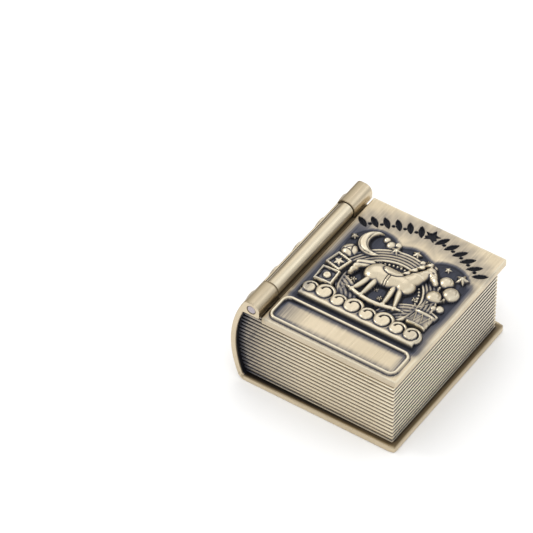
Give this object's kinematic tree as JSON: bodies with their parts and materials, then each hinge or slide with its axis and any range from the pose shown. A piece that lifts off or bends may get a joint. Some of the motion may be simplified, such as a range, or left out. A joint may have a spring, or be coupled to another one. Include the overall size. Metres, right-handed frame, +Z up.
{
  "type": "baby tooth box",
  "caption": "Small cast metal keepsake box shaped like a closed book, with a hinged front cover, page-edge walls and a velvet-lined inside that holds a baby tooth.",
  "frame": {"origin": "centre of the box's footprint, on the surface that it stands on", "axes": "+Z up through the front cover, +Y along the spine away from the nameplate's end, +X from the spine to the fore edge"},
  "size_m": [0.0421, 0.044, 0.0247],
  "materials": {
    "antique_casting": "brushed antique brass plate over a zinc casting, dark patina in the recesses",
    "pin_steel": "plain bright steel",
    "velvet": "short dark pile"
  },
  "bodies": {
    "box": {"back_cover": "antique_casting", "page_block": "antique_casting", "hinge_pin": "pin_steel", "floor_pad": "velvet", "wall_lining": "velvet"},
    "lid": {"front_cover": "antique_casting", "cover_ornament": "antique_casting", "lid_pad": "velvet"}
  },
  "joints": [
    {"name": "lid_hinge", "type": "hinge", "parent": "box", "child": "lid", "pos_m": [-0.01535, 0, 0.0227], "axis": [0, -1, 0], "range_deg": [0, 190]}
  ]
}
